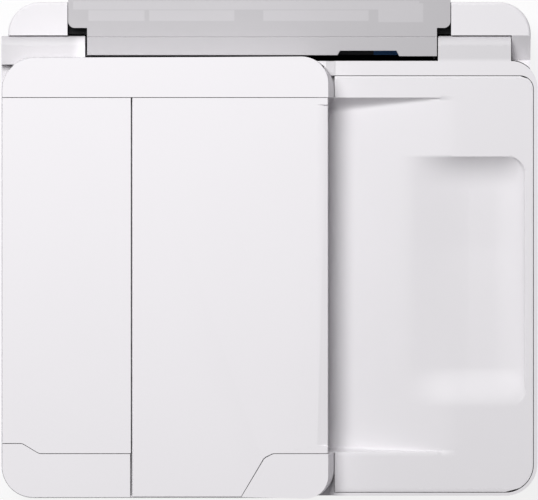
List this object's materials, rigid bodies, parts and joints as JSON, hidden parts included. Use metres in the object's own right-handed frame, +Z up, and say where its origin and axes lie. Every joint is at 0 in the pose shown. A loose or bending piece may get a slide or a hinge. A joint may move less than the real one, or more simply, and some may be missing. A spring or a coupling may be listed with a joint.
{
  "type": "inkjet multifunction printer",
  "caption": "Compact white inkjet printer with a flatbed scanner lid, a document feeder, a rear paper slot, a tilting front panel, a pull-out output tray and a paper cassette.",
  "frame": {"origin": "centre of the machine's footprint, on the surface it stands on", "axes": "+X to the right of someone facing the front, +Y to the rear, +Z up; the front faces -Y"},
  "size_m": [0.403, 0.375, 0.193],
  "materials": {
    "white_shell": "fine matte texture",
    "grey_shell": "fine matte texture",
    "smoke_cover": "satin, slightly smoked",
    "black_plastic": "matte",
    "dark_blue_plastic": "matte",
    "panel_plastic": "gloss",
    "screen": "gloss",
    "button_plastic": "satin",
    "start_plastic": "satin",
    "rubber": "matte",
    "platen_glass": "clear",
    "foam_white": "soft foam with a white film",
    "steel": "zinc-plated sheet and ground bar",
    "belt": "matte",
    "gear_plastic": "natural acetal",
    "circuit_board": "solder mask",
    "cartridge_black": "matte",
    "cartridge_colour": "matte",
    "smoke_tray": "satin"
  },
  "bodies": {
    "casing": {"base_pan": "grey_shell", "rubber_feet": "rubber", "left_side_cover": "white_shell", "right_side_cover": "white_shell", "rear_cover": "white_shell", "front_frame": "white_shell", "inner_cover": "grey_shell", "hinge_brackets": "steel", "hinge_pins": "steel", "bracket_screws": "steel", "main_chassis": "steel", "guide_rail": "steel", "carriage_belt": "belt", "drive_motors": "steel", "platen": "black_plastic", "logic_board": "circuit_board", "power_supply": "steel", "rear_tray": "black_plastic"},
    "scanner_unit": {"scanner_case": "white_shell", "scanner_top": "white_shell", "platen_glass": "platen_glass"},
    "lid": {"lid_frame": "white_shell", "lid_pad": "foam_white", "output_panel": "white_shell", "feeder_housing": "white_shell"},
    "operation_panel": {"operation_panel": "panel_plastic", "display": "screen"},
    "cassette": {"cassette": "smoke_tray", "cassette_front": "white_shell"},
    "carriage": {"carriage": "black_plastic", "black_cartridge": "cartridge_black", "colour_cartridge": "cartridge_colour"},
    "stay_arm": {"stay_arm": "steel"},
    "scan_carriage": {"scan_carriage": "black_plastic"},
    "feeder_cover": {"feeder_cover": "white_shell"},
    "document_tray": {"document_tray": "white_shell"},
    "feeder_roller": {"feeder_roller": "rubber"},
    "pickup_roller": {"pickup_roller": "rubber"},
    "rear_document_guide": {"rear_document_guide": "dark_blue_plastic"},
    "front_document_guide": {"front_document_guide": "dark_blue_plastic"},
    "rear_tray_cover": {"rear_tray_cover": "smoke_cover"},
    "paper_support": {"paper_support": "smoke_cover"},
    "feed_slot_cover": {"feed_slot_cover": "dark_blue_plastic"},
    "left_paper_guide": {"left_paper_guide": "black_plastic"},
    "right_paper_guide": {"right_paper_guide": "black_plastic"},
    "power_button": {"power_button": "button_plastic"},
    "left_button": {"left_button": "button_plastic"},
    "ok_button": {"ok_button": "button_plastic"},
    "right_button": {"right_button": "button_plastic"},
    "stop_button": {"stop_button": "button_plastic"},
    "start_button": {"start_button": "start_plastic"},
    "output_tray": {"output_tray": "grey_shell"},
    "output_stop": {"output_stop": "grey_shell"},
    "left_cassette_guide": {"left_cassette_guide": "smoke_tray"},
    "right_cassette_guide": {"right_cassette_guide": "smoke_tray"},
    "drive_pulley": {"drive_pulley": "gear_plastic"},
    "idler_pulley": {"idler_pulley": "gear_plastic"},
    "feed_roller": {"feed_roller": "rubber"},
    "feed_pinion": {"feed_pinion": "gear_plastic"},
    "output_roller": {"output_roller": "rubber"}
  },
  "joints": [
    {"name": "scanner_hinge", "type": "hinge", "parent": "casing", "child": "scanner_unit", "pos_m": [0, 0.1525, 0.1595], "axis": [-1, 0, 0], "range_deg": [0, 30]},
    {"name": "stay_arm_hinge", "type": "hinge", "parent": "scanner_unit", "child": "stay_arm", "pos_m": [0.185, -0.02, 0.107], "axis": [-1, 0, 0], "range_deg": [0, 60]},
    {"name": "scan_carriage_slide", "type": "slide", "parent": "scanner_unit", "child": "scan_carriage", "axis": [1, 0, 0], "range_m": [0, 0.32]},
    {"name": "lid_hinge", "type": "hinge", "parent": "scanner_unit", "child": "lid", "pos_m": [0, 0.1525, 0.1595], "axis": [-1, 0, 0], "range_deg": [0, 60]},
    {"name": "feeder_cover_hinge", "type": "hinge", "parent": "lid", "child": "feeder_cover", "pos_m": [-0.1993, 0, 0.1685], "axis": [0, -1, 0], "range_deg": [0, 75]},
    {"name": "document_tray_hinge", "type": "hinge", "parent": "lid", "child": "document_tray", "pos_m": [0.0391, 0, 0.189], "axis": [0, 1, 0], "range_deg": [0, 150]},
    {"name": "feeder_roller_spin", "type": "hinge", "parent": "lid", "child": "feeder_roller", "pos_m": [-0.1495, -0.016, 0.179], "axis": [0, 1, 0], "continuous": true},
    {"name": "pickup_roller_spin", "type": "hinge", "parent": "lid", "child": "pickup_roller", "pos_m": [-0.1235, -0.016, 0.179], "axis": [0, 1, 0], "continuous": true},
    {"name": "rear_document_guide_slide", "type": "slide", "parent": "lid", "child": "rear_document_guide", "axis": [0, -1, 0], "range_m": [0, 0.035]},
    {"name": "front_document_guide_slide", "type": "slide", "parent": "lid", "child": "front_document_guide", "axis": [0, 1, 0], "range_m": [0, 0.035]},
    {"name": "rear_tray_cover_hinge", "type": "hinge", "parent": "casing", "child": "rear_tray_cover", "pos_m": [0, 0.1843, 0.16], "axis": [-1, 0, 0], "range_deg": [0, 115]},
    {"name": "paper_support_hinge", "type": "hinge", "parent": "rear_tray_cover", "child": "paper_support", "pos_m": [0, 0.1472, 0.1626], "axis": [-1, 0, 0], "range_deg": [0, 172.5]},
    {"name": "feed_slot_cover_hinge", "type": "hinge", "parent": "casing", "child": "feed_slot_cover", "pos_m": [0, 0.1468, 0.15], "axis": [1, 0, 0], "range_deg": [0, 85]},
    {"name": "left_paper_guide_slide", "type": "slide", "parent": "casing", "child": "left_paper_guide", "axis": [1, 0, 0], "range_m": [0, 0.05]},
    {"name": "right_paper_guide_slide", "type": "slide", "parent": "casing", "child": "right_paper_guide", "axis": [-1, 0, 0], "range_m": [0, 0.05]},
    {"name": "operation_panel_hinge", "type": "hinge", "parent": "casing", "child": "operation_panel", "pos_m": [0, -0.178, 0.1064], "axis": [-1, 0, 0], "range_deg": [0, 40]},
    {"name": "power_button_press", "type": "slide", "parent": "operation_panel", "child": "power_button", "axis": [0, 1, 0], "range_m": [0, 0.001], "stiffness_N_per_m": 150},
    {"name": "left_button_press", "type": "slide", "parent": "operation_panel", "child": "left_button", "axis": [0, 1, 0], "range_m": [0, 0.001], "stiffness_N_per_m": 150},
    {"name": "ok_button_press", "type": "slide", "parent": "operation_panel", "child": "ok_button", "axis": [0, 1, 0], "range_m": [0, 0.001], "stiffness_N_per_m": 150},
    {"name": "right_button_press", "type": "slide", "parent": "operation_panel", "child": "right_button", "axis": [0, 1, 0], "range_m": [0, 0.001], "stiffness_N_per_m": 150},
    {"name": "stop_button_press", "type": "slide", "parent": "operation_panel", "child": "stop_button", "axis": [0, 1, 0], "range_m": [0, 0.001], "stiffness_N_per_m": 150},
    {"name": "start_button_press", "type": "slide", "parent": "operation_panel", "child": "start_button", "axis": [0, 1, 0], "range_m": [0, 0.001], "stiffness_N_per_m": 150},
    {"name": "output_tray_slide", "type": "slide", "parent": "casing", "child": "output_tray", "axis": [0, -1, 0], "range_m": [0, 0.12]},
    {"name": "output_stop_hinge", "type": "hinge", "parent": "output_tray", "child": "output_stop", "pos_m": [0, -0.1735, 0.0473], "axis": [1, 0, 0], "range_deg": [0, 170]},
    {"name": "cassette_slide", "type": "slide", "parent": "casing", "child": "cassette", "axis": [0, -1, 0], "range_m": [0, 0.2]},
    {"name": "left_cassette_guide_slide", "type": "slide", "parent": "cassette", "child": "left_cassette_guide", "axis": [1, 0, 0], "range_m": [0, 0.03]},
    {"name": "right_cassette_guide_slide", "type": "slide", "parent": "cassette", "child": "right_cassette_guide", "axis": [-1, 0, 0], "range_m": [0, 0.03]},
    {"name": "carriage_slide", "type": "slide", "parent": "casing", "child": "carriage", "axis": [-1, 0, 0], "range_m": [0, 0.25]},
    {"name": "drive_pulley_spin", "type": "hinge", "parent": "casing", "child": "drive_pulley", "pos_m": [-0.16, 0.036, 0.093], "axis": [0, 1, 0], "continuous": true},
    {"name": "idler_pulley_spin", "type": "hinge", "parent": "casing", "child": "idler_pulley", "pos_m": [0.16, 0.036, 0.093], "axis": [0, 1, 0], "continuous": true},
    {"name": "feed_roller_spin", "type": "hinge", "parent": "casing", "child": "feed_roller", "pos_m": [0, 0.046, 0.062], "axis": [1, 0, 0], "continuous": true},
    {"name": "feed_pinion_spin", "type": "hinge", "parent": "casing", "child": "feed_pinion", "pos_m": [-0.181, 0.03101, 0.04701], "axis": [1, 0, 0], "continuous": true},
    {"name": "output_roller_spin", "type": "hinge", "parent": "casing", "child": "output_roller", "pos_m": [0, -0.034, 0.062], "axis": [1, 0, 0], "continuous": true}
  ],
  "couplings": [
    {"joint": "stay_arm_hinge", "follows": "scanner_hinge", "ratio": 2},
    {"joint": "pickup_roller_spin", "follows": "feeder_roller_spin", "ratio": 1.2143},
    {"joint": "front_document_guide_slide", "follows": "rear_document_guide_slide", "ratio": 1},
    {"joint": "paper_support_hinge", "follows": "rear_tray_cover_hinge", "ratio": 1.5},
    {"joint": "right_paper_guide_slide", "follows": "left_paper_guide_slide", "ratio": 1},
    {"joint": "right_cassette_guide_slide", "follows": "left_cassette_guide_slide", "ratio": 1},
    {"joint": "drive_pulley_spin", "follows": "carriage_slide", "rad_per_m": 147.06},
    {"joint": "idler_pulley_spin", "follows": "carriage_slide", "rad_per_m": 147.06},
    {"joint": "feed_pinion_spin", "follows": "feed_roller_spin", "ratio": -2.5},
    {"joint": "output_roller_spin", "follows": "feed_roller_spin", "ratio": 1}
  ]
}
